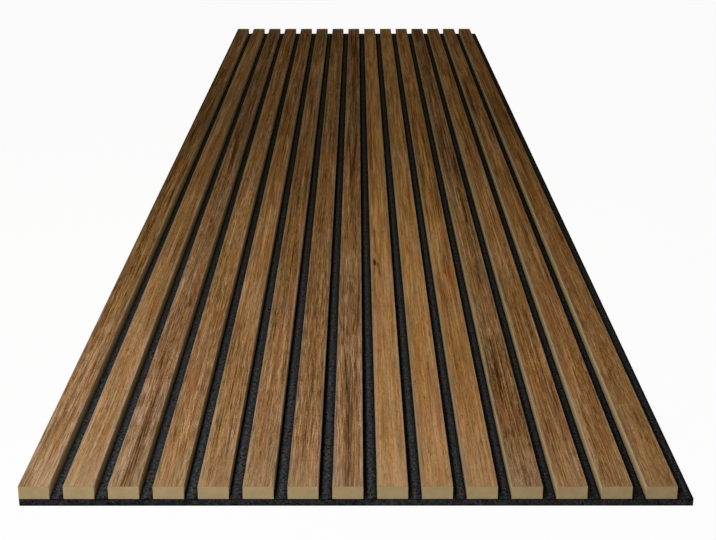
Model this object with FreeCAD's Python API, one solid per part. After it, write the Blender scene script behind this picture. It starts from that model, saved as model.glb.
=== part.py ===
# Acoustic slat wall panel, lying on its back with the slats up.
#
# A board of pressed polyester felt carries a row of parallel slats. Each slat is
# an MDF core with a strip of wood veneer glued to its face. Wire staples, shot
# from behind, pass through the felt into the cores and hold the slats on.
#
# X runs across the slats, Y along them and Z from the wall side to the room
# side. The origin is the centre of the felt's back face, which goes on the wall.
# The first slat is flush with the felt's edge at low X. At high X the felt
# stands proud of the last slat, and that bare margin becomes the gap at the
# joint when the next panel is butted against it.

import FreeCAD
import Part

import math
import os

# The slats, in millimetres as everything here is.
slat_count = 15
slat_length = 2400.0
slat_width = 27.5
slat_gap = 12.5
core_thickness = 12.0
veneer_thickness = 0.5
veneer_arris = 0.25

# The felt board. Its margin is the bare strip beyond the last slat.
felt_thickness = 7.0
joint_margin = 15.0

# The staples: flat wire bent to a U, with its crown on the back of the felt.
staple_crown_width = 12.8
staple_wire_width = 1.25
staple_wire_thickness = 0.65
staple_bend = 0.7
staple_bite = 6.5
staple_point_length = 1.2
staple_sink = 0.4

# Rows of staples run across the panel, one staple in each slat.
staple_end_distance = 60.0
staple_widest_spacing = 460.0

# What follows from the sizes above.
slat_pitch = slat_width + slat_gap
panel_width = slat_count * slat_pitch - slat_gap + joint_margin
panel_low_x = -panel_width / 2
core_base = felt_thickness
veneer_base = core_base + core_thickness
staple_tip = felt_thickness + staple_bite


def slat_low_x(index):
    """X of the slat's edge on the low side; index counts from 0."""
    return panel_low_x + index * slat_pitch


def slat_middle_x(index):
    return slat_low_x(index) + slat_width / 2


def staple_rows():
    """Y of each row: one near each end, and the rest evenly spaced between."""
    span = slat_length - 2 * staple_end_distance
    spaces = max(1, math.ceil(span / staple_widest_spacing))
    return [span * (row / spaces - 0.5) for row in range(spaces + 1)]


def point(x, z):
    return FreeCAD.Vector(x, 0, z)


def prism(edges, length):
    """Extrudes a closed outline, drawn in the XZ plane, to length along Y, half each way."""
    face = Part.Face(Part.Wire(edges))
    solid = face.extrude(FreeCAD.Vector(0, length, 0))
    solid.translate(FreeCAD.Vector(0, -length / 2, 0))
    return solid


def polygon(points):
    return [Part.makeLine(a, b) for a, b in zip(points, points[1:] + points[:1])]


def rectangle(low_x, base, width, height):
    high_x = low_x + width
    top = base + height
    return polygon([point(low_x, base), point(high_x, base), point(high_x, top), point(low_x, top)])


def staple_outline():
    """One staple seen from the slats' end: legs up, crown down, each outer bend one bevel."""
    half = staple_crown_width / 2
    inner = half - staple_wire_thickness
    crown_low = staple_sink
    crown_high = staple_sink + staple_wire_thickness
    bend_high = crown_low + staple_bend
    shoulder = staple_tip - staple_point_length
    right = [
        point(half - staple_bend, crown_low),
        point(half, bend_high),
        point(half, shoulder),
        point(inner, staple_tip),
        point(inner, crown_high),
    ]
    left = [point(-corner.x, corner.z) for corner in reversed(right)]
    return polygon(right + left)


def staple_path_outline():
    """What a staple opens in the felt: a groove for its crown and a slit for each leg."""
    half = staple_crown_width / 2
    inner = half - staple_wire_thickness
    groove_top = staple_sink + staple_wire_thickness
    return polygon([
        point(-half, 0),
        point(half, 0),
        point(half, felt_thickness),
        point(inner, felt_thickness),
        point(inner, groove_top),
        point(-inner, groove_top),
        point(-inner, felt_thickness),
        point(-half, felt_thickness),
    ])


def copies(solid, indices):
    """The solid at each staple place of the slats with these indices."""
    placed = []
    for index in indices:
        for y in staple_rows():
            copy = solid.copy()
            copy.translate(FreeCAD.Vector(slat_middle_x(index), y, 0))
            placed.append(copy)
    return placed


def make_felt():
    board = prism(rectangle(panel_low_x, 0, panel_width, felt_thickness), slat_length)
    path = prism(staple_path_outline(), staple_wire_width)
    return board.cut(copies(path, range(slat_count)))


def make_core(index, staple):
    core = prism(rectangle(slat_low_x(index), core_base, slat_width, core_thickness), slat_length)
    return core.cut(copies(staple, [index]))


def make_veneer(index):
    """The face strip. Its two long upper edges are eased, as by a pass of fine paper."""
    low, high = slat_low_x(index), slat_low_x(index) + slat_width
    base, top = veneer_base, veneer_base + veneer_thickness
    ease = min(veneer_arris, veneer_thickness / 2)
    return prism(polygon([
        point(low, base),
        point(high, base),
        point(high, top - ease),
        point(high - ease, top),
        point(low + ease, top),
        point(low, top - ease),
    ]), slat_length)


def save(name, shape):
    shape.exportStep(os.path.join("parts", name + ".step"))


def main():
    os.makedirs("parts", exist_ok=True)
    staple = prism(staple_outline(), staple_wire_width)
    save("felt_backing", make_felt())
    save("back_staples", Part.makeCompound(copies(staple, range(slat_count))))
    for index in range(slat_count):
        number = f"{index + 1:02d}"
        save("slat_core_" + number, make_core(index, staple))
        save("slat_veneer_" + number, make_veneer(index))


main()
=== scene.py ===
import math
import random

import bpy
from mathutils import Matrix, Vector, noise


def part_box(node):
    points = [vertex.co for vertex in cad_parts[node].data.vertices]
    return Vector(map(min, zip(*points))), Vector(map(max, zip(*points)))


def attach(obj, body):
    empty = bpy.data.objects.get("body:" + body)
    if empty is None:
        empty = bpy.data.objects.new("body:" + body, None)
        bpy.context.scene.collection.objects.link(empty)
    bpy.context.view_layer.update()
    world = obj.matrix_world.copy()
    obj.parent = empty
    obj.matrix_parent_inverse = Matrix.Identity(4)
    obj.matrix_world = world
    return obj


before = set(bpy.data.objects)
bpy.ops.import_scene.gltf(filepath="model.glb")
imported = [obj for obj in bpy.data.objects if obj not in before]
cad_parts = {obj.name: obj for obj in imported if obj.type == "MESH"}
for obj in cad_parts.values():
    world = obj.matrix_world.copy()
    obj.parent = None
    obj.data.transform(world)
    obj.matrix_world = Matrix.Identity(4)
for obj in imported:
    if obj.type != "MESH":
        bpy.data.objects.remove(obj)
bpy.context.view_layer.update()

# The looks of an acoustic slat wall panel: walnut veneer on MDF slats, over charcoal felt.
# Lengths are in metres, but a material's patterns are laid out in millimetres.

MM = 0.001

# What the frame says
felt_low, felt_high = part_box("felt_backing")
slat_numbers = sorted(name[-2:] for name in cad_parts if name.startswith("slat_core_"))

# The camera, which stands before the panel's near end and looks down along it
CAMERA_HEIGHT = 0.6098
CAMERA_SETBACK = 1.0836
CAMERA_SIDE = 0.0009
CAMERA_DIP = math.radians(19.603)
CAMERA_TURN = math.radians(-0.036)
CAMERA_LENS = 68.88
SENSOR_WIDTH = 36.0

# The lights: a row of lamps above the slats, each with its place along Y, power and colour
LAMP_SIDE = -0.25
LAMP_HEIGHT = 0.70
LAMP_RADIUS = 0.10
LAMPS = {
    "lamp_front": (-2.20, 17.0, (1.00, 1.00, 1.05)),
    "lamp_near": (-1.30, 15.8, (1.00, 1.00, 1.05)),
    "lamp_middle": (-0.50, 7.3, (1.00, 0.91, 0.59)),
    "lamp_far": (0.90, 3.45, (1.00, 0.915, 0.68)),
}
AMBIENT = (0.128, 0.117, 0.098)

# The floor
FLOOR_SIZE = 30.0
FLOOR_DROP = 0.0002
FLOOR_COLOUR = (0.65, 0.65, 0.65)
FLOOR_SHADOW = 0.045


def colour(red, green, blue):
    return (red, green, blue, 1.0)


class Graph:
    """A material's nodes. Each method adds nodes and returns the socket that they end in."""

    def __init__(self, name):
        self.material = bpy.data.materials.new(name)
        self.material.use_nodes = True
        self.tree = self.material.node_tree
        self.shader = self.tree.nodes["Principled BSDF"]

    def add(self, kind, inputs=(), **settings):
        """inputs maps a socket's name or number to a value, or to the socket that feeds it."""
        node = self.tree.nodes.new(kind)
        for name, value in settings.items():
            setattr(node, name, value)
        for name, value in dict(inputs).items():
            self.feed(node.inputs[name], value)
        return node

    def feed(self, socket, value):
        if isinstance(value, bpy.types.NodeSocket):
            self.tree.links.new(value, socket)
        else:
            socket.default_value = value

    def calc(self, operation, *values):
        node = self.add("ShaderNodeMath", dict(enumerate(values)), operation=operation)
        return node.outputs[0]

    def chain(self, operation, values):
        result = values[0]
        for value in values[1:]:
            result = self.calc(operation, result, value)
        return result

    def total(self, *values):
        return self.chain("ADD", values)

    def product(self, *values):
        return self.chain("MULTIPLY", values)

    def slope(self, value, low, high, start, end, form="LINEAR"):
        """Goes in a straight line from start to end as value goes from low to high."""
        return self.add("ShaderNodeMapRange", {
            "Value": value,
            "From Min": low,
            "From Max": high,
            "To Min": start,
            "To Max": end,
        }, interpolation_type=form).outputs["Result"]

    def rise(self, value, low, high, start=0.0, end=1.0):
        """Goes smoothly from start to end as value goes from low to high."""
        return self.slope(value, low, high, start, end, "SMOOTHSTEP")

    def scale(self, vector, factor):
        """Also makes a colour lighter or darker."""
        node = self.add("ShaderNodeVectorMath", {0: vector, "Scale": factor}, operation="SCALE")
        return node.outputs[0]

    def place(self, origin=(0, 0, 0)):
        """Millimetres from a point that is given in metres."""
        here = self.add("ShaderNodeTexCoord").outputs["Object"]
        offset = self.add("ShaderNodeVectorMath", {0: here, 1: origin}, operation="SUBTRACT")
        return self.scale(offset.outputs[0], 1 / MM)

    def facing(self):
        """The X, Y and Z of the direction that the surface faces."""
        return self.split(self.add("ShaderNodeNewGeometry").outputs["True Normal"])

    def split(self, vector):
        return self.add("ShaderNodeSeparateXYZ", {0: vector}).outputs[:]

    def join(self, x, y, z):
        return self.add("ShaderNodeCombineXYZ", {0: x, 1: y, 2: z}).outputs[0]

    def noise(self, place, size, detail=2.0, roughness=0.5, seed=0):
        """Noise whose blobs are about size = (x, y, z) millimetres. Its mean is 0.5."""
        shift = random.Random(seed)
        mapped = self.add("ShaderNodeMapping", {
            "Vector": place,
            "Location": [shift.uniform(-500, 500) for _ in range(3)],
            "Scale": [1 / side for side in size],
        }).outputs[0]
        return self.add("ShaderNodeTexNoise", {
            "Vector": mapped,
            "Scale": 1.0,
            "Detail": detail,
            "Roughness": roughness,
        }).outputs[0]

    def swing(self, value, amount):
        """Noise as a swing of about plus or minus half the amount."""
        return self.product(self.calc("SUBTRACT", value, 0.5), amount)

    def mix(self, factor, first, second, blend="MIX"):
        node = self.add("ShaderNodeMix", {
            "Factor": factor,
            6: first,
            7: second,
        }, data_type="RGBA", blend_type=blend)
        return node.outputs[2]

    def ramp(self, value, stops):
        """Colours by value. stops is a list of (position, colour), from low to high."""
        node = self.add("ShaderNodeValToRGB", {"Fac": value})
        elements = node.color_ramp.elements
        while len(elements) < len(stops):
            elements.new(0.5)
        for element, (position, shade) in zip(elements, stops):
            element.position = position
            element.color = shade
        return node.outputs["Color"]

    def bump(self, height, depth, strength=1.0):
        """depth is the relief, in millimetres, that height's range of 0 to 1 stands for."""
        return self.add("ShaderNodeBump", {
            "Height": height,
            "Distance": depth * MM,
            "Strength": strength,
        }).outputs[0]

    def finish(self, base, roughness, normal, specular=0.5, metallic=0.0):
        self.feed(self.shader.inputs["Base Color"], base)
        self.feed(self.shader.inputs["Roughness"], roughness)
        self.feed(self.shader.inputs["Normal"], normal)
        self.shader.inputs["Specular IOR Level"].default_value = specular
        self.shader.inputs["Metallic"].default_value = metallic
        return self.material


# Walnut veneer

WOOD_RAMP = [
    (0.05, colour(0.056, 0.023, 0.007)),
    (0.28, colour(0.132, 0.062, 0.020)),
    (0.50, colour(0.235, 0.122, 0.046)),
    (0.72, colour(0.345, 0.194, 0.087)),
    (0.95, colour(0.450, 0.290, 0.160)),
]
# Warmth, chill, cool, hot, streak and pore multiply what is under them; the rest is mixed in.
WOOD_RED = colour(0.265, 0.108, 0.045)
WOOD_OLIVE = colour(0.170, 0.128, 0.045)
WOOD_WARMTH = colour(1.00, 0.88, 0.66)
WOOD_CHILL = colour(0.97, 1.02, 1.28)
WOOD_COOL = colour(0.95, 1.00, 1.20)
WOOD_HOT = colour(1.035, 0.99, 0.84)
WOOD_STREAK = colour(0.38, 0.315, 0.235)
WOOD_PORE = colour(0.50, 0.43, 0.36)
WOOD_RIM_WEAR_AND_HIGHLIGHT = colour(0.265, 0.208, 0.143)
WOOD_KNOT = colour(0.035, 0.015, 0.006)
WOOD_HALO = colour(0.200, 0.085, 0.018)
WOOD_CUT = colour(0.42, 0.30, 0.16)
WOOD_END = colour(0.33, 0.245, 0.138)

# Where along the panel a value is what it is near the camera, and what it is far off
NEAR_Y = -1000
FAR_Y = 850

# The noises: the size of their blobs across and along the grain, what a slat's pores add to the
# second, their detail and roughness, and what they add to the slat's seed
WOOD_NOISES = {
    "wander": (90, 520, 0, 1.0, 0.5, 0),
    "wobble": (8, 140, 0, 1.0, 0.5, 1),
    "broad": (6.5, 480, 0, 2.0, 0.6, 2),
    "middle": (2.4, 190, 0, 2.0, 0.6, 3),
    "fine": (1.3, 80, 50, 2.0, 0.6, 4),
    "hair": (0.95, 9, 24, 1.0, 0.5, 5),
    "patch": (24, 230, 0, 2.0, 0.5, 6),
    "red": (4.5, 150, 0, 2.0, 0.6, 7),
    "olive": (4, 130, 0, 2.0, 0.6, 8),
    "ragged": (1.6, 60, 0, 2.0, 0.6, 9),
    "crowd": (5, 160, 0, 2.0, 0.5, 10),
    "dash": (0.8, 18, 16, 1.0, 0.5, 11),
    "bend": (26, 900, 0, 1.0, 0.5, 12),
    "kink": (7, 260, 0, 2.0, 0.5, 13),
    "clear": (9, 280, 0, 2.0, 0.5, 14),
    "strand": (1.3, 170, 0, 1.0, 0.5, 15),
    "hue": (6, 120, 0, 2.0, 0.5, 16),
    "speck": (0.9, 4, 0, 1.0, 0.5, 17),
}

# How far the grain strays across the slat, in millimetres
WANDER = 5.0
WOBBLE = 1.1

# Growth lines: bend and kink are counted in lines, and CLEAR is where in its noise they set in
LINE_SPACING = 3.4
LINE_BEND = 7.0
LINE_KINK = 1.6
LINE_POWER = 2.5
LINE_CLEAR = (0.38, 0.64)
LINE_DEPTH = -0.42
LINE_LIFT = 0.04

# How much each noise moves the tone. The second of two values is multiplied by the slat's pores.
BROAD_SWING = 0.85
MIDDLE_SWING = 0.85
FINE_SWING = 1.05
PATCH_SWING = 0.45
HAIR_SWING = (0.28, 1.10)
SPECK_SWING = (0.42, 0.42)

# Shares near the camera and half way along: of broad streaks, of short ones, of red and olive,
# of the strands' tint and of the slat's warmth
BOLD_SHARE = (0.85, 1.95)
SHORT_SHARE = (1.15, 0.45)
RICH_SHARE = (1.0, 1.3)
TINT_SHARE = (0.6, 1.0)
WARMTH_SHARE = (0.85, 1.10)

# The tone drops towards the far end: from the first y to the second, and from what to what
FAR_DROP = (850, 1150, 0.0, -0.05)

# Shades and streaks: SOFT and RAGGED are parts of a streak's half width, TAPER of its length
SHADE_FADE = 60
STREAK_FADE = 100
STREAK_TAPER = 0.25
STREAK_SOFT = (1.5, 0.2)
STREAK_RAGGED = 2.0
THIN_STREAK = 1.5
PALE_LIFT = 0.28

# Where in its noise each sets in and is full; for those of four, also its least and its most
STRAND_RISE = (0.40, 0.60, 0.45, 1.00)
RED_RISE = (0.48, 0.68, 0.0, 0.65)
OLIVE_RISE = (0.48, 0.68, 0.0, 0.45)
HOT_RISE = (0.38, 0.58)
CROWD_RISE = (0.35, 0.65, 0.2, 1.0)
DASH_RISE = (0.60, 0.72)
STREAK_CROWD = 0.7
DASH_CROWD = 0.16
DASH_SHARE = 0.80

# Ends and edges. END_SHARE is at the panel's low side and at its high one, and RIM_WIDTH near
# the camera and far off. Other pairs are how far from the edge or end each sets in and is full.
END_LENGTH = 130
END_SHARE = (0.36, 0.12)
CUT_DEPTH = (0.06, 0.02)
CUT_SHARE = 0.75
# The pale rim along the long arrises is partly thin finish and partly a painted highlight.
RIM_WIDTH = (2.1, 4.6)
RIM_FAR_Y = 200
RIM_FULL = 0.3
RIM_SHARE = 0.58
GREY_WIDTH = (6.0, 1.0)
GREY_SHARE = 0.18
DARK_ARRIS_WIDTH = (3.4, 1.8)
DARK_ARRIS_RAGGED = 2.0

# A knot and the halo round it: where each sets in and is full, as parts of the knot's half size
KNOT_REACH = (1.25, 0.55)
HALO_REACH = (2.40, 0.90)
HALO_SHARE = 0.55

WOOD_ROUGHNESS = 0.78
MIDDLE_ROUGHNESS = 0.2
DASH_ROUGHNESS = 0.12
WOOD_RELIEF = 0.12
FINE_RELIEF = 0.35
DASH_RELIEF = -0.6


class Slat:
    """How one slat's veneer differs from the others.

    tones are its lightness near the camera, half way and far off: its own tone, with painted shade
    that darkens it away from the near lamps. figures are the contrast of its grain at the same
    places, and pores the strength of its short dark dashes.
    warmth is a shift to orange where it is above 0, and to grey where it is below.
    A shade is a stretch that is paler or darker: the y of its two ends and how much.
    A streak is dark, and a pale one light: ((x, y) of one end, (x, y) of the other, half its
    width, its strength). A knot is its x and y, half its width, half its length and its strength.
    A dark arris is a dark band along the low arris: the y where it starts and that where it is full.
    All are in millimetres, with x from the slat's middle and y from the panel's.
    """

    def __init__(
        self, tones_and_shade, figures, pores, warmth,
        shades=(), streaks=(), pales=(), knots=(), dark_arris=None,
    ):
        self.tones_and_shade = tones_and_shade
        self.figures = figures
        self.pores = pores
        self.warmth = warmth
        self.shades = shades
        self.streaks = streaks
        self.pales = pales
        self.knots = knots
        self.dark_arris = dark_arris


SLATS = {
    "01": Slat((0.69, 0.33, 0.52), (0.95, 0.95, 1.00), 0.75, -0.20, [
        (-1300, -1050, 0.08),
        (-910, -590, -0.08),
        (-450, 100, 0.06),
        (100, 690, -0.07),
        (700, 940, 0.16),
    ], [
        ((-6, -1190), (-2, -880), 3.0, 0.25),
        ((6, 330), (2, 120), 5.0, 0.45),
        ((-4, 560), (3, 420), 4.0, 0.40),
    ], dark_arris=(-1100, 200)),
    "02": Slat((0.74, 0.51, 0.61), (0.74, 0.62, 0.85), 0.22, -0.10, [
        (-780, -120, -0.09),
    ], [
        ((6, 430), (7, 320), 2.5, 0.50),
        ((4, -490), (6, -610), 2.5, 0.35),
    ]),
    "03": Slat((0.61, 0.44, 0.39), (0.72, 0.62, 0.85), 0.95, -0.82, [], [
        ((3.2, -1230), (2.5, -950), 4.0, 0.45),
        ((4.2, -1250), (2.2, -930), 1.1, 1.00),
        ((1.4, -1250), (1.0, -990), 0.9, 1.00),
        ((6.6, -1250), (4.6, -1000), 0.8, 0.80),
        ((-2.2, -1250), (0.4, -1000), 0.8, 0.70),
        ((-0.5, -990), (-7.5, -820), 2.5, 0.45),
        ((-8, -870), (-8, -730), 2.5, 0.50),
        ((-4, 150), (4, -170), 3.5, 0.80),
        ((-8, 1190), (2, 900), 2.5, 0.60),
        ((2, 1010), (4, 770), 4.0, 0.80),
        ((-9, 520), (-6, 300), 4.0, 0.40),
    ]),
    "04": Slat((0.62, 0.68, 0.45), (0.94, 0.70, 0.95), 0.80, 0.00, [
        (-610, -300, -0.08),
    ], [
        ((-5, 780), (-1, 670), 2.0, 0.50),
        ((-5, -690), (-3, -790), 3.0, 0.35),
    ]),
    "05": Slat((0.60, 0.51, 0.50), (0.92, 0.75, 0.90), 0.48, 0.10, [
        (-770, -330, 0.06),
    ], [
        ((0, 530), (9, 320), 2.0, 0.50),
        ((-4, 310), (6, 170), 2.5, 0.50),
        ((2, 190), (10, 50), 2.0, 0.45),
        ((-2, -220), (3, -350), 2.0, 0.60),
        ((-9, -1130), (-3, -990), 2.5, 0.45),
        ((-1, -1020), (4, -870), 2.0, 0.40),
    ]),
    "06": Slat((0.60, 0.54, 0.57), (0.78, 0.62, 1.00), 0.55, -0.30, [
        (-600, -110, -0.07),
        (400, 900, 0.04),
        (950, 1300, -0.04),
    ], [
        ((-10, 40), (-9, -310), 5.0, 0.50),
        ((-8, -410), (-11, -630), 3.0, 0.50),
        ((2, -530), (5, -610), 2.0, 0.40),
        ((-2, 1190), (-8, 820), 5.0, 0.40),
    ]),
    "07": Slat((0.58, 0.59, 0.50), (0.90, 0.64, 0.90), 0.95, -0.15, [
        (-900, -110, -0.075),
        (400, 700, 0.16),
        (950, 1300, -0.10),
    ], [
        ((6, 150), (9, -70), 2.5, 0.50),
        ((10, -190), (11, -460), 3.0, 0.45),
        ((0, -670), (2, -770), 4.0, 0.40),
        ((9, 700), (10, 450), 3.0, 0.35),
    ]),
    "08": Slat((0.63, 0.53, 0.44), (0.84, 0.66, 0.85), 1.00, -0.47, [
        (-760, -600, 0.07),
        (-450, -300, 0.05),
    ], [
        ((0.8, -1230), (0.6, -980), 4.2, 0.55),
        ((0.2, -1250), (0.2, -950), 0.9, 1.00),
        ((2.7, -1250), (1.8, -970), 0.8, 0.95),
        ((-2.4, -1250), (-1.2, -1000), 0.7, 0.75),
        ((5.0, -1250), (3.6, -1000), 0.7, 0.60),
        ((-0.5, -1040), (-6.5, -860), 1.1, 0.95),
        ((-6, -900), (-10, -560), 1.2, 0.65),
        ((1, -1010), (1.5, -900), 0.9, 0.70),
        ((4.5, -1060), (8, -840), 1.0, 0.65),
        ((8.5, -880), (11.5, -650), 1.2, 0.75),
        ((-9, 190), (-0.5, -200), 1.5, 0.80),
        ((8, 120), (1, -200), 1.5, 0.75),
        ((0, -30), (0, -220), 3.0, 0.60),
        ((0.5, 600), (0.5, 370), 2.0, 0.50),
        ((-7, 1150), (0, 750), 1.5, 0.80),
        ((6, 1150), (1, 750), 1.5, 0.75),
        ((0.5, 990), (0.5, 770), 3.5, 0.70),
    ]),
    "09": Slat((0.79, 0.78, 0.99), (0.51, 1.15, 0.85), 0.08, 0.80, [
        (-760, -600, -0.05),
        (700, 940, 0.13),
        (960, 1300, -0.05),
    ], [
        ((-10, -640), (-9, -740), 1.4, 0.45),
        ((-7.5, -430), (-7.5, -580), 1.3, 0.60),
        ((-6, -590), (-1, -660), 1.4, 0.60),
        ((12, -440), (13, -640), 1.5, 0.35),
    ], [
        ((-4.5, -470), (-1, -580), 1.1, 1.00),
        ((-1.5, -480), (1.5, -600), 1.1, 1.00),
        ((2.5, -470), (4.5, -650), 1.5, 1.00),
        ((6, -480), (7.5, -640), 1.2, 0.70),
        ((-5, -640), (-4, -760), 1.5, 0.50),
    ], [
        (-8.9, -597, 1.9, 13, 1.0),
        (-9.8, -627, 1.3, 9, 0.5),
    ]),
    "10": Slat((0.74, 0.87, 0.95), (0.45, 1.25, 0.75), 0.12, 0.82, [
        (-700, -110, 0.06),
    ], [
        ((9, 160), (10, -60), 1.4, 0.65),
        ((-10, 470), (-10, 240), 1.3, 0.50),
        ((6, 520), (7, 260), 1.3, 0.35),
    ], [
        ((-1, 900), (1, 100), 2.0, 0.35),
        ((4, 60), (5, -300), 1.5, 0.40),
    ]),
    "11": Slat((0.74, 0.59, 0.87), (0.67, 1.75, 1.00), 0.12, 0.90, [
        (-310, -90, 0.13),
        (110, 400, -0.05),
    ], [
        ((8, 520), (9, 160), 2.0, 0.70),
        ((4, 130), (6, -180), 1.4, 0.60),
        ((10, 20), (11, -430), 2.2, 0.80),
        ((-7, 100), (-6, -300), 1.4, 0.50),
        ((4, -490), (7, -710), 2.2, 0.50),
        ((8, -470), (10, -650), 2.2, 0.50),
    ], [
        ((-2, -440), (-6, -640), 2.0, 0.90),
        ((3, -420), (0, -620), 1.3, 0.80),
        ((2, 700), (-1, 200), 2.0, 0.60),
        ((1, 250), (2, -250), 1.8, 0.70),
        ((-3, 100), (-3, -350), 1.4, 0.60),
    ]),
    "12": Slat((0.47, 0.50, 0.46), (1.00, 1.05, 0.95), 0.62, -0.24, [
        (-1300, -1050, -0.04),
        (-760, -420, 0.075),
        (700, 940, 0.05),
    ], [
        ((-5, -1040), (-1.5, -840), 2.6, 0.50),
        ((-5.6, -1060), (-1.4, -830), 1.1, 1.00),
        ((-3.0, -1010), (0.6, -830), 0.8, 0.75),
        ((3, -980), (6, -1110), 3.0, 0.40),
        ((1, -710), (2, -580), 2.0, 0.60),
        ((-2, 280), (-4, -70), 3.5, 0.75),
        ((3, 40), (7, -240), 1.5, 0.75),
        ((10, -20), (11, -300), 2.0, 0.70),
        ((-2, 1140), (-4, 990), 4.0, 0.60),
        ((4, 970), (0, 820), 3.0, 0.70),
        ((-2, 740), (1, 590), 5.0, 0.50),
    ]),
    "13": Slat((0.62, 0.74, 0.67), (1.00, 1.00, 0.85), 0.50, 0.60, [
        (-900, -300, -0.05),
        (-90, 90, 0.07),
        (110, 390, -0.05),
        (950, 1300, -0.10),
    ], [
        ((6, -860), (9, -750), 3.0, 0.50),
        ((3, -1010), (0, -930), 3.0, 0.45),
    ]),
    "14": Slat((0.65, 0.66, 0.78), (1.00, 1.10, 0.90), 0.42, 0.60, [
        (-1050, -900, 0.07),
        (-900, -600, -0.11),
    ], [
        ((-7, 590), (-7, 420), 1.8, 0.85),
        ((-8, 360), (-8, 200), 1.5, 0.80),
        ((2, 340), (-3, 190), 1.4, 0.70),
        ((-9, -120), (-10, -330), 1.5, 0.50),
    ]),
    "15": Slat((0.59, 0.59, 0.72), (0.80, 0.85, 0.75), 0.40, 0.60, [
        (420, 690, -0.06),
    ], [
        ((3, -530), (6, -650), 2.0, 0.50),
        ((6, -690), (11, -780), 3.0, 0.45),
    ]),
}


def streak_mask(graph, x, ragged, y, streak):
    """Its strength along a streak, fading at its ragged sides and its pointed ends."""
    (start_x, start_y), (end_x, end_y), half_width, strength = streak
    along = graph.slope(y, start_y, end_y, 0.0, 1.0)
    middle = graph.calc("MULTIPLY_ADD", along, end_x - start_x, start_x)
    across = graph.calc("MULTIPLY_ADD", ragged, STREAK_RAGGED * half_width, x)
    off = graph.calc("ABSOLUTE", graph.calc("SUBTRACT", across, middle))
    outer, inner = (share * half_width for share in STREAK_SOFT)
    side = graph.rise(off, outer, inner, 0.0, strength)
    fade = min(STREAK_TAPER, STREAK_FADE / abs(end_y - start_y))
    taper = graph.product(graph.rise(along, 0.0, fade), graph.rise(along, 1.0, 1.0 - fade))
    return graph.product(side, taper)


def to_middle(graph, y, near, halfway):
    """Goes from near, at NEAR_Y, to halfway, at the panel's middle."""
    return graph.slope(y, NEAR_Y, 0.0, near, halfway)


def along_panel(graph, y, near, halfway, far):
    """Goes from near to halfway in the same way, and on to far, at FAR_Y."""
    return graph.total(
        to_middle(graph, y, near, halfway),
        graph.slope(y, 0.0, FAR_Y, 0.0, far - halfway),
    )


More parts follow.
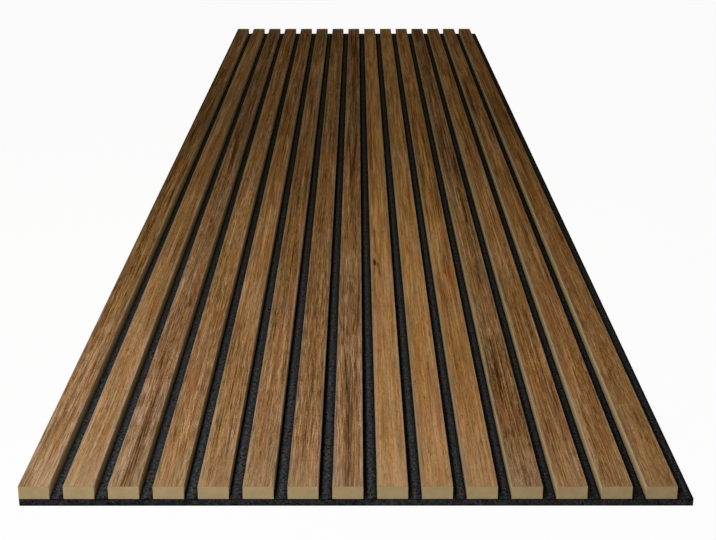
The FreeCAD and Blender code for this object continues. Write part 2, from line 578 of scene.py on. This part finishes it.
def veneer_material(number):
    slat = SLATS[number]
    low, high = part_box("slat_veneer_" + number)
    half_width = (high.x - low.x) / 2 / MM
    half_length = high.y / MM
    graph = Graph("walnut_" + number)
    place = graph.place(((low.x + high.x) / 2, 0, high.z))
    x, y, z = graph.split(place)
    from_line = graph.calc("ABSOLUTE", x)
    from_middle = graph.calc("ABSOLUTE", y)

    def pattern(name, place):
        width, length, by_pores, detail, roughness, seed = WOOD_NOISES[name]
        size = (width, length + by_pores * slat.pores, width)
        return graph.noise(place, size, detail, roughness, 100 * int(number) + seed)

    # The grain runs along Y and wanders a little across the slat.
    wander = graph.swing(pattern("wander", place), WANDER)
    wobble = graph.swing(pattern("wobble", place), WOBBLE)
    across = graph.total(x, wander, wobble)
    grain = graph.join(across, y, z)

    # Growth lines: dark on one side, a few millimetres apart, and clearer in some places
    phase = graph.total(
        graph.calc("DIVIDE", across, LINE_SPACING),
        graph.swing(pattern("bend", place), LINE_BEND),
        graph.swing(pattern("kink", place), LINE_KINK),
    )
    line = graph.calc("POWER", graph.calc("FRACT", phase), LINE_POWER)
    line = graph.product(line, graph.rise(pattern("clear", grain), *LINE_CLEAR))

    # Streaks, from broad and long to fine and short
    middle = pattern("middle", grain)
    fine = pattern("fine", grain)
    figure = along_panel(graph, y, *slat.figures)
    bold = graph.product(figure, to_middle(graph, y, *BOLD_SHARE))
    short = to_middle(graph, y, *SHORT_SHARE)
    hair_swing = HAIR_SWING[0] + HAIR_SWING[1] * slat.pores
    speck_swing = SPECK_SWING[0] + SPECK_SWING[1] * slat.pores
    tone = graph.total(
        LINE_LIFT,
        # Its lightness along the panel, with painted shade away from the near lamps
        along_panel(graph, y, *slat.tones_and_shade),
        graph.slope(y, *FAR_DROP),
        graph.product(bold, graph.swing(pattern("broad", grain), BROAD_SWING)),
        graph.product(bold, graph.swing(middle, MIDDLE_SWING)),
        graph.product(figure, graph.swing(fine, FINE_SWING)),
        graph.product(short, graph.swing(pattern("hair", grain), hair_swing)),
        graph.product(short, graph.swing(pattern("speck", grain), speck_swing)),
        graph.product(figure, graph.swing(pattern("patch", place), PATCH_SWING)),
        graph.product(figure, LINE_DEPTH, line),
    )

    # Stretches that are paler or darker
    for start, end, amount in slat.shades:
        within = graph.product(
            graph.rise(y, start - SHADE_FADE, start + SHADE_FADE),
            graph.rise(y, end + SHADE_FADE, end - SHADE_FADE),
        )
        tone = graph.calc("MULTIPLY_ADD", within, amount, tone)

    # Dark and pale streaks, ragged at their sides; strands of the grain show in the wide ones
    waved = graph.total(x, wobble)
    ragged = graph.swing(pattern("ragged", place), 1.0)
    strand = graph.rise(pattern("strand", grain), *STRAND_RISE)
    dark = 0.0
    for streak in slat.streaks:
        mask = streak_mask(graph, waved, ragged, y, streak)
        if streak[2] > THIN_STREAK:
            mask = graph.product(mask, strand)
        dark = graph.calc("MAXIMUM", dark, mask)
    for streak in slat.pales:
        mask = streak_mask(graph, waved, ragged, y, streak)
        tone = graph.total(tone, graph.product(mask, PALE_LIFT))
    base = graph.ramp(tone, WOOD_RAMP)

    # Reddish and olive patches, and the slat's own warmth
    richer = to_middle(graph, y, *RICH_SHARE)
    red = graph.rise(pattern("red", grain), *RED_RISE)
    olive = graph.rise(pattern("olive", grain), *OLIVE_RISE)
    base = graph.mix(graph.product(red, richer), base, WOOD_RED)
    base = graph.mix(graph.product(olive, richer), base, WOOD_OLIVE)
    shift = WOOD_WARMTH if slat.warmth > 0 else WOOD_CHILL
    warmer = to_middle(graph, y, *(abs(slat.warmth) * share for share in WARMTH_SHARE))
    base = graph.mix(warmer, base, shift, "MULTIPLY")

    # Strands that are greyer or more orange, and greyer towards the two long edges
    grey = graph.rise(from_line, *(half_width - width for width in GREY_WIDTH), 0.0, GREY_SHARE)
    hot = graph.rise(graph.calc("SUBTRACT", pattern("hue", grain), grey), *HOT_RISE)
    tint = graph.mix(hot, WOOD_COOL, WOOD_HOT)
    base = graph.mix(to_middle(graph, y, *TINT_SHARE), base, tint, "MULTIPLY")

    # The finish is thin towards the ends, and paler there. Along the two long arrises it is paler too:
    # partly thin finish, partly a painted highlight on the arrises.
    from_low = (low.x - felt_low.x) / (felt_high.x - felt_low.x)
    end_share = END_SHARE[0] + (END_SHARE[1] - END_SHARE[0]) * from_low
    end = graph.rise(from_middle, half_length - END_LENGTH, half_length, 0.0, end_share)
    base = graph.mix(end, base, WOOD_END)
    inside = graph.calc("SUBTRACT", half_width, from_line)
    rim_width = graph.slope(y, NEAR_Y, RIM_FAR_Y, *RIM_WIDTH)
    rim_wear_and_highlight = graph.rise(inside, rim_width, RIM_FULL, 0.0, RIM_SHARE)
    base = graph.mix(rim_wear_and_highlight, base, WOOD_RIM_WEAR_AND_HIGHLIGHT)
    base = graph.mix(dark, base, WOOD_STREAK, "MULTIPLY")

    # Open pores: short dark dashes, more of them in the dark streaks
    crowd = graph.rise(pattern("crowd", grain), *CROWD_RISE)
    crowd = graph.total(graph.product(crowd, slat.pores), graph.product(dark, STREAK_CROWD))
    dash = graph.calc("MULTIPLY_ADD", crowd, DASH_CROWD, pattern("dash", grain))
    dash = graph.rise(dash, *DASH_RISE)
    base = graph.mix(graph.product(dash, DASH_SHARE), base, WOOD_PORE, "MULTIPLY")

    for knot_x, knot_y, half_across, half_along, strength in slat.knots:
        side = graph.calc("DIVIDE", graph.calc("SUBTRACT", waved, knot_x), half_across)
        end = graph.calc("DIVIDE", graph.calc("SUBTRACT", y, knot_y), half_along)
        square = graph.total(graph.product(side, side), graph.product(end, end))
        away = graph.calc("SQRT", square)
        halo = graph.rise(away, *HALO_REACH, 0.0, HALO_SHARE * strength)
        base = graph.mix(halo, base, WOOD_HALO)
        base = graph.mix(graph.rise(away, *KNOT_REACH, 0.0, strength), base, WOOD_KNOT)

    # A dark band along the low arris, over the given stretch
    if slat.dark_arris:
        side = graph.calc("MULTIPLY_ADD", ragged, DARK_ARRIS_RAGGED, x)
        side = graph.rise(side, *(width - half_width for width in DARK_ARRIS_WIDTH))
        dark_arris = graph.product(side, graph.rise(y, *slat.dark_arris))
        base = graph.mix(dark_arris, base, WOOD_KNOT)

    # Its cut ends are nearly as pale as the core.
    cut = graph.rise(from_middle, *(half_length - depth for depth in CUT_DEPTH), 0.0, CUT_SHARE)
    base = graph.mix(cut, base, WOOD_CUT)

    height = graph.total(graph.product(fine, FINE_RELIEF), graph.product(dash, DASH_RELIEF))
    roughness = graph.total(
        WOOD_ROUGHNESS,
        graph.swing(middle, MIDDLE_ROUGHNESS),
        graph.product(dash, DASH_ROUGHNESS),
    )
    return graph.finish(base, roughness, graph.bump(height, WOOD_RELIEF), specular=0.0)


# Raw MDF

MDF_RAMP = [
    (0.25, colour(0.370, 0.268, 0.130)),
    (0.50, colour(0.450, 0.332, 0.168)),
    (0.75, colour(0.530, 0.400, 0.214)),
]
MDF_SPECK = colour(0.12, 0.08, 0.04)

# The noises: the size of their blobs, detail, roughness and seed, and how much they do
MDF_CLOUD_NOISE = ((9, 30, 9), 2.0, 0.5, 1)
MDF_FIBRE_NOISE = ((0.9, 2.2, 0.5), 3.0, 0.6, 2)
MDF_SPECK_NOISE = ((0.5, 0.9, 0.4), 1.0, 0.5, 3)
MDF_CLOUD_SWING = 0.35
MDF_FIBRE_SWING = 0.55
MDF_SPECK_RISE = (0.64, 0.76, 0.0, 0.45)
MDF_ROUGHNESS = 0.9
MDF_SPECULAR = 0.05
MDF_RELIEF = 0.10

# The long sides' painted shade, dark at the felt and light at the top, from the felt up, and the
# painted light added to it where they face high X
MDF_PAINTED_SHADE = (0.36, 1.45)
MDF_PAINTED_SHADE_HEIGHT = 12.0
MDF_PAINTED_LIGHT_LOW = (0.0, 0.65)
MDF_PAINTED_LIGHT_TOP = 0.35
MDF_PAINTED_LIGHT_Y = (-1000, 400)

# Their tints, painted colour of light and shade: cool where they face low X, towards the lamps,
# by their own x, and warm where they face high X, in shade
MDF_PAINTED_LIGHT_COOL = colour(1.07, 1.09, 1.15)
MDF_PAINTED_SHADE_WARM = colour(1.05, 0.96, 0.87)
MDF_PAINTED_LIGHT_COOL_X = (60, 280)
MDF_PAINTED_LIGHT_COOL_SHARE = (0.4, 1.0)


def mdf_material():
    graph = Graph("raw_mdf")
    place = graph.place()
    x, y, z = graph.split(place)
    cloud = graph.noise(place, *MDF_CLOUD_NOISE)
    fibre = graph.noise(place, *MDF_FIBRE_NOISE)
    speck = graph.rise(graph.noise(place, *MDF_SPECK_NOISE), *MDF_SPECK_RISE)
    tone = graph.total(
        0.5,
        graph.swing(cloud, MDF_CLOUD_SWING),
        graph.swing(fibre, MDF_FIBRE_SWING),
    )
    base = graph.mix(speck, graph.ramp(tone, MDF_RAMP), MDF_SPECK)

    # The long sides are painted pale at the top and dark towards the felt: painted light and shade in
    # the slots. Those that face high X get more painted light at the top, and further along the panel
    # also below.
    facing = graph.facing()[0]
    sideways = graph.calc("ABSOLUTE", facing)
    high_side = graph.calc("MAXIMUM", facing, 0.0)
    low_side = graph.calc("MAXIMUM", graph.product(facing, -1.0), 0.0)
    felt_top = felt_high.z / MM
    painted_light = graph.product(high_side, graph.slope(y, *MDF_PAINTED_LIGHT_Y, *MDF_PAINTED_LIGHT_LOW))
    bottom = graph.total(painted_light, MDF_PAINTED_SHADE[0])
    top = graph.calc("MULTIPLY_ADD", high_side, MDF_PAINTED_LIGHT_TOP, MDF_PAINTED_SHADE[1])
    shade = graph.slope(z, felt_top, felt_top + MDF_PAINTED_SHADE_HEIGHT, bottom, top)
    shade = graph.calc("MULTIPLY_ADD", graph.calc("SUBTRACT", shade, 1.0), sideways, 1.0)

    # Those that face low X are cooler, most of all at high X, and the others are warmer: painted
    # colour of the lamps' light on the lit sides, and of the shade on the others.
    painted_cool = graph.product(low_side, graph.slope(x, *MDF_PAINTED_LIGHT_COOL_X, *MDF_PAINTED_LIGHT_COOL_SHARE))
    base = graph.mix(painted_cool, base, MDF_PAINTED_LIGHT_COOL, "MULTIPLY")
    base = graph.mix(high_side, base, MDF_PAINTED_SHADE_WARM, "MULTIPLY")
    base = graph.scale(base, shade)
    return graph.finish(base, MDF_ROUGHNESS, graph.bump(fibre, MDF_RELIEF), MDF_SPECULAR)


# Felt

FELT_DARK = colour(0.005, 0.005, 0.006)
FELT_GREY = colour(0.082, 0.083, 0.083)
FELT_BLUE = colour(0.023, 0.041, 0.048)
FELT_VIOLET = colour(0.046, 0.033, 0.048)
FELT_EDGE = colour(0.72, 0.66, 0.60)
# The next multiplies in painted shade: the shadow lines on the cut edges and the corners at the slats'
# feet
FELT_PAINTED_SHADE = colour(0.25, 0.24, 0.22)

# The noises: the size of their blobs, detail, roughness and seed, and where they set in
FELT_CLUMP_NOISE = ((2.6, 3.6, 2.6), 2.0, 0.6, 11)
FELT_FLECK_NOISE = ((1.2, 1.8, 1.2), 2.0, 0.6, 12)
FELT_BLUE_NOISE = ((5, 9, 5), 2.0, 0.6, 13)
FELT_VIOLET_NOISE = ((6, 10, 6), 2.0, 0.6, 14)
FELT_PALE_RISE = (0.40, 0.62)
FELT_BLUE_RISE = (0.48, 0.60, 0.0, 0.6)
FELT_VIOLET_RISE = (0.50, 0.62, 0.0, 0.5)
FELT_ROUGHNESS = 0.95
FELT_RELIEF = 0.8

# The cut edges: how far below the face their darker colour sets in and is full, and the same
# for their painted shadow lines, below the face under the slats and above the back on the floor
FELT_EDGE_DEPTH = (0.1, 0.6)
FELT_FACE_SHADOW = (1.6, 0.7)
FELT_BACK_SHADOW = (1.6, 0.5)

# Painted light and shade: what the felt's colour is multiplied by from the near end to the far
# one, darkest before the middle and warmer towards the far end
FELT_LIGHT_AND_SHADE_RAMP = [
    (0.00, colour(1.00, 1.00, 1.00)),
    (0.35, colour(0.80, 0.73, 0.63)),
    (0.60, colour(1.00, 0.85, 0.62)),
    (1.00, colour(1.30, 0.93, 0.54)),
]

# And by side, painted shade at low X and painted light at high X, near the camera and from
# FELT_SIDE_Y on
FELT_SIDE_X = (-150, 60)
FELT_SIDE_Y = -350
FELT_PAINTED_SHADE_LOW_X = (0.85, 0.68)
FELT_PAINTED_LIGHT_HIGH_X = (1.07, 1.35)

FIBRE_DARK = colour(0.022, 0.026, 0.030)
FIBRE_PALE = colour(0.105, 0.112, 0.118)
FIBRE_BLUE = colour(0.040, 0.062, 0.082)
FIBRE_PALE_NOISE = ((5, 5, 5), 1.0, 0.5, 15)
FIBRE_BLUE_NOISE = ((7, 7, 7), 1.0, 0.5, 16)
FIBRE_PALE_RISE = (0.40, 0.62)
FIBRE_BLUE_RISE = (0.50, 0.62, 0.0, 0.7)
FIBRE_ROUGHNESS = 0.9
FIBRE_RELIEF = 0.05


def paint_felt_light_and_shade(graph, place, base):
    """Painted light and shade: deepest before the middle, warmer towards the far end, and paler at
    high X.
    """
    x, y, z = graph.split(place)
    share = graph.slope(y, NEAR_Y, -NEAR_Y, 0.0, 1.0)
    base = graph.mix(1.0, base, graph.ramp(share, FELT_LIGHT_AND_SHADE_RAMP), "MULTIPLY")
    low = graph.slope(y, NEAR_Y, FELT_SIDE_Y, *FELT_PAINTED_SHADE_LOW_X)
    high = graph.slope(y, NEAR_Y, FELT_SIDE_Y, *FELT_PAINTED_LIGHT_HIGH_X)
    return graph.scale(base, graph.slope(x, *FELT_SIDE_X, low, high))


def felt_material():
    graph = Graph("charcoal_felt")
    place = graph.place()
    clump = graph.noise(place, *FELT_CLUMP_NOISE)
    fleck = graph.noise(place, *FELT_FLECK_NOISE)
    blue = graph.rise(graph.noise(place, *FELT_BLUE_NOISE), *FELT_BLUE_RISE)
    violet = graph.rise(graph.noise(place, *FELT_VIOLET_NOISE), *FELT_VIOLET_RISE)
    tone = graph.product(graph.total(clump, fleck), 0.5)
    base = graph.mix(graph.rise(tone, *FELT_PALE_RISE), FELT_DARK, FELT_GREY)
    base = graph.mix(blue, base, FELT_BLUE)
    base = graph.mix(violet, base, FELT_VIOLET)

    # The cut edges are darker than the face, with a painted shadow line where the face begins,
    # under the slats, and another where the back begins, on the floor.
    thickness = (felt_high.z - felt_low.z) / MM
    z = graph.split(place)[2]
    upright = graph.calc("SUBTRACT", 1.0, graph.calc("ABSOLUTE", graph.facing()[2]))
    below = graph.rise(z, *(thickness - depth for depth in FELT_EDGE_DEPTH))
    edge = graph.product(upright, below)
    face_shadow = graph.rise(z, *(thickness - depth for depth in FELT_FACE_SHADOW))
    shadow_lines = graph.total(face_shadow, graph.rise(z, *FELT_BACK_SHADOW))
    base = graph.mix(edge, base, FELT_EDGE, "MULTIPLY")
    base = graph.mix(graph.product(edge, shadow_lines), base, FELT_PAINTED_SHADE, "MULTIPLY")

    # The nap is darker along the foot of each slat: painted shade in the corners between slat and
    # felt.
    corner_shade = graph.add("ShaderNodeAttribute", attribute_name="corner_shade").outputs["Fac"]
    base = graph.mix(corner_shade, base, FELT_PAINTED_SHADE, "MULTIPLY")
    # Painted light and shade, along the panel and across it
    base = paint_felt_light_and_shade(graph, place, base)
    return graph.finish(base, FELT_ROUGHNESS, graph.bump(tone, FELT_RELIEF), specular=0.0)


def fibre_material():
    graph = Graph("felt_fibre")
    place = graph.place()
    pale = graph.rise(graph.noise(place, *FIBRE_PALE_NOISE), *FIBRE_PALE_RISE)
    blue = graph.rise(graph.noise(place, *FIBRE_BLUE_NOISE), *FIBRE_BLUE_RISE)
    base = graph.mix(pale, FIBRE_DARK, FIBRE_PALE)
    base = graph.mix(blue, base, FIBRE_BLUE)
    # Painted light and shade, along the panel and across it
    base = paint_felt_light_and_shade(graph, place, base)
    return graph.finish(base, FIBRE_ROUGHNESS, graph.bump(pale, FIBRE_RELIEF), specular=0.0)


# The felt's nap: a thin lumpy layer over its bare strips, and fibres that stand out of it

NAP_CELL_ACROSS = 2.5 * MM
NAP_CELL_ALONG = 4.0 * MM
NAP_HEIGHT = 0.25 * MM
NAP_SWING = 0.35 * MM
NAP_LUMP = 5.0 * MM
NAP_ROOT = 0.1 * MM
NAP_BORDER = 0.3

# How much painted shade each column gets, from a border inwards, more on the high side
NAP_CORNER_SHADE = [1.0, 0.50]
NAP_CORNER_SHADE_HIGH = [1.0, 0.75, 0.30]

FIBRE_SEED = 5
FIBRE_COUNT = 13500
FIBRE_LENGTH = (2.5 * MM, 6.5 * MM)
FIBRE_RISE = (0.10 * MM, 0.45 * MM)
FIBRE_RADIUS = 0.10 * MM
FIBRE_MARGIN = 2.0 * MM
FIBRE_REACH = 0.4


def new_piece(name, vertices, faces, material):
    """A piece of felt that rides with the panel."""
    mesh = bpy.data.meshes.new(name)
    mesh.from_pydata(vertices, [], faces)
    mesh.shade_smooth()
    mesh.materials.append(material)
    piece = bpy.data.objects.new(name, mesh)
    bpy.context.scene.collection.objects.link(piece)
    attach(piece, "root")
    return piece


def bare_strips():
    """The felt's bare stretches of X: between the slats, and beyond the last one."""
    edges = [felt_low.x]
    for number in slat_numbers:
        low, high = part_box("slat_core_" + number)
        edges += [low.x, high.x]
    edges.append(felt_high.x)
    return [(low, high) for low, high in zip(edges[::2], edges[1::2]) if high - low > MM]


def nap_height(x, y, at_border):
    """The border sits lower, held down by the slat beside it."""
    swing = NAP_SWING * noise.noise(Vector((x, y, 0)) / NAP_LUMP)
    return (NAP_HEIGHT + swing) * (NAP_BORDER if at_border else 1.0) + NAP_ROOT


def nap_corner_shade(column, columns):
    """How much painted shade the nap gets at a column, from 0 to 1."""
    for place, shares in ((column, NAP_CORNER_SHADE), (columns - column, NAP_CORNER_SHADE_HIGH)):
        if place < len(shares):
            return shares[place]
    return 0.0


def add_nap(vertices, faces, corner_shade, low, high):
    """One strip of nap: a lattice on top, closed below the felt's face."""
    columns = round((high - low) / NAP_CELL_ACROSS)
    rows = round((felt_high.y - felt_low.y) / NAP_CELL_ALONG)
    wide = columns + 1
    top = len(vertices)
    for row in range(rows + 1):
        y = felt_low.y + (felt_high.y - felt_low.y) * row / rows
        for column in range(wide):
            x = low + (high - low) * column / columns
            from_border = min(column, columns - column)
            vertices.append((x, y, felt_high.z + nap_height(x, y, from_border == 0)))
            corner_shade.append(nap_corner_shade(column, columns))
    under = len(vertices)
    for row in range(rows + 1):
        y = felt_low.y + (felt_high.y - felt_low.y) * row / rows
        vertices.extend([(low, y, felt_high.z - NAP_ROOT), (high, y, felt_high.z - NAP_ROOT)])
        corner_shade.extend([1.0, 1.0])
    for row in range(rows):
        first = top + row * wide
        last = first + columns
        left = under + 2 * row
        faces.extend(
            (corner, corner + 1, corner + 1 + wide, corner + wide)
            for corner in range(first, last)
        )
        faces.append((first, first + wide, left + 2, left))
        faces.append((last, left + 1, left + 3, last + wide))
        faces.append((left, left + 2, left + 3, left + 1))
    end = top + rows * wide
    faces.append((under, under + 1, *range(top + columns, top - 1, -1)))
    faces.append((under + 2 * rows, *range(end, end + wide), under + 2 * rows + 1))


def add_fibre(vertices, faces, middle, along, out, rise, radius):
    """A three-sided wisp that arches out of a face, with its two ends in it."""
    side = along.cross(out).normalized()
    first = len(vertices)
    for point in (middle - along / 2, middle + out * rise, middle + along / 2):
        for turn in range(3):
            angle = 2 * math.pi * turn / 3
            vertices.append(point + (side * math.cos(angle) + out * math.sin(angle)) * radius)
    for ring in (first, first + 3):
        for turn in range(3):
            after = (turn + 1) % 3
            faces.append((ring + turn, ring + after, ring + 3 + after, ring + 3 + turn))
    faces.append((first + 2, first + 1, first))
    faces.append((first + 6, first + 7, first + 8))


def felt_faces():
    """Each open face of the felt: a corner, its two sides as vectors, and which way it faces."""
    x, y, z = felt_high - felt_low
    across = Vector((x, 0, 0))
    along = Vector((0, y, 0))
    up = Vector((0, 0, z))
    faces = []
    for low, high in bare_strips():
        corner = Vector((low, felt_low.y, felt_high.z + NAP_HEIGHT))
        faces.append((corner, Vector((high - low, 0, 0)), along, Vector((0, 0, 1))))
    faces += [
        (felt_low, across, up, Vector((0, -1, 0))),
        (felt_low + along, across, up, Vector((0, 1, 0))),
        (felt_low, up, along, Vector((-1, 0, 0))),
        (felt_low + across, up, along, Vector((1, 0, 0))),
    ]
    return faces


def make_fibres():
    draw = random.Random(FIBRE_SEED)
    vertices, faces = [], []
    patches = felt_faces()
    areas = [across.length * along.length for corner, across, along, out in patches]
    for corner, across, along, out in draw.choices(patches, areas, k=FIBRE_COUNT):
        middle = corner
        for side in (across, along):
            margin = min(0.5, FIBRE_MARGIN / side.length)
            middle = middle + side * draw.uniform(margin, 1 - margin)
        turn = draw.uniform(0, 2 * math.pi)
        length = draw.uniform(*FIBRE_LENGTH)
        step = Vector((0, 0, 0))
        for side, share in ((across, math.cos(turn)), (along, math.sin(turn))):
            step += side.normalized() * share * min(length, side.length * FIBRE_REACH)
        add_fibre(vertices, faces, middle, step, out, draw.uniform(*FIBRE_RISE), FIBRE_RADIUS)
    new_piece("felt_fibres", vertices, faces, fibre_material())


def make_nap(material):
    vertices, faces, corner_shade = [], [], []
    for low, high in bare_strips():
        add_nap(vertices, faces, corner_shade, low, high)
    nap = new_piece("felt_nap", vertices, faces, material)
    # Each point's share of the painted shade at the slats' feet, for the felt's material
    nap.data.attributes.new("corner_shade", "FLOAT", "POINT").data.foreach_set("value", corner_shade)


# Galvanised wire

WIRE_DARK = colour(0.42, 0.43, 0.45)
WIRE_PALE = colour(0.66, 0.67, 0.68)
WIRE_NOISE = ((1.5, 1.5, 1.5), 2.0, 0.5, 21)
WIRE_ROUGHNESS = (0.3, 0.7, 0.28, 0.46)
WIRE_RELIEF = 0.02


def staple_material():
    graph = Graph("galvanised_wire")
    spangle = graph.noise(graph.place(), *WIRE_NOISE)
    base = graph.mix(spangle, WIRE_DARK, WIRE_PALE)
    roughness = graph.rise(spangle, *WIRE_ROUGHNESS)
    return graph.finish(base, roughness, graph.bump(spangle, WIRE_RELIEF), metallic=1.0)


def dress(node, material):
    """Gives the material to each slot of a node's solids."""
    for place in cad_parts[node].material_slots:
        place.link = "OBJECT"
        place.material = material


# The camera, lights and floor

def make_camera():
    camera = bpy.data.objects.new("camera", bpy.data.cameras.new("camera"))
    bpy.context.scene.collection.objects.link(camera)
    camera.data.sensor_width = SENSOR_WIDTH
    camera.data.lens = CAMERA_LENS
    camera.location = (CAMERA_SIDE, felt_low.y - CAMERA_SETBACK, CAMERA_HEIGHT)
    camera.rotation_euler = (math.pi / 2 - CAMERA_DIP, 0, CAMERA_TURN)
    bpy.context.scene.camera = camera


def make_lamps():
    for name, (y, power, tint) in LAMPS.items():
        lamp = bpy.data.lights.new(name, "POINT")
        lamp.energy = power
        lamp.color = tint
        lamp.shadow_soft_size = LAMP_RADIUS
        holder = bpy.data.objects.new(name, lamp)
        holder.location = (LAMP_SIDE, y, LAMP_HEIGHT)
        bpy.context.scene.collection.objects.link(holder)


def seen_directly(tree):
    """1 for rays from the camera, and for those that a gloss or a clear thing sends on."""
    path = tree.nodes.new("ShaderNodeLightPath")
    total = path.outputs["Is Camera Ray"]
    for name in ("Is Glossy Ray", "Is Transmission Ray"):
        joined = tree.nodes.new("ShaderNodeMath")
        joined.operation = "MAXIMUM"
        tree.links.new(total, joined.inputs[0])
        tree.links.new(path.outputs[name], joined.inputs[1])
        total = joined.outputs[0]
    return total


def make_world():
    """White where it is seen, and a dim warm light all round."""
    world = bpy.data.worlds.new("studio")
    bpy.context.scene.world = world
    world.use_nodes = True
    tree = world.node_tree
    tint = tree.nodes.new("ShaderNodeMix")
    tint.data_type = "RGBA"
    tint.inputs[6].default_value = colour(*AMBIENT)
    tint.inputs[7].default_value = colour(1, 1, 1)
    tree.links.new(seen_directly(tree), tint.inputs["Factor"])
    tree.links.new(tint.outputs[2], tree.nodes["Background"].inputs["Color"])
    tree.nodes["Background"].inputs["Strength"].default_value = 1.0


def make_floor():
    half = FLOOR_SIZE / 2
    mesh = bpy.data.meshes.new("floor")
    level = felt_low.z - FLOOR_DROP
    corners = [(-half, -half, level), (half, -half, level), (half, half, level), (-half, half, level)]
    mesh.from_pydata(corners, [], [(0, 1, 2, 3)])
    floor = bpy.data.objects.new("floor", mesh)
    bpy.context.scene.collection.objects.link(floor)
    graph = Graph("floor")
    graph.shader.inputs["Base Color"].default_value = colour(*FLOOR_COLOUR)
    graph.shader.inputs["Roughness"].default_value = 1.0
    graph.shader.inputs["Specular IOR Level"].default_value = 0.0
    glow = graph.add("ShaderNodeEmission", {"Color": colour(1, 1, 1), "Strength": 1.0})
    share = graph.calc("MULTIPLY", seen_directly(graph.tree), 1 - FLOOR_SHADOW)
    both = graph.add("ShaderNodeMixShader", {0: share, 1: graph.shader.outputs[0], 2: glow.outputs[0]})
    graph.feed(graph.tree.nodes["Material Output"].inputs["Surface"], both.outputs[0])
    mesh.materials.append(graph.material)


make_camera()
make_lamps()
make_world()
make_floor()

mdf = mdf_material()
for number in slat_numbers:
    dress("slat_core_" + number, mdf)
    dress("slat_veneer_" + number, veneer_material(number))
felt = felt_material()
dress("felt_backing", felt)
make_nap(felt)
make_fibres()
dress("back_staples", staple_material())

bpy.context.scene.view_settings.view_transform = "Standard"
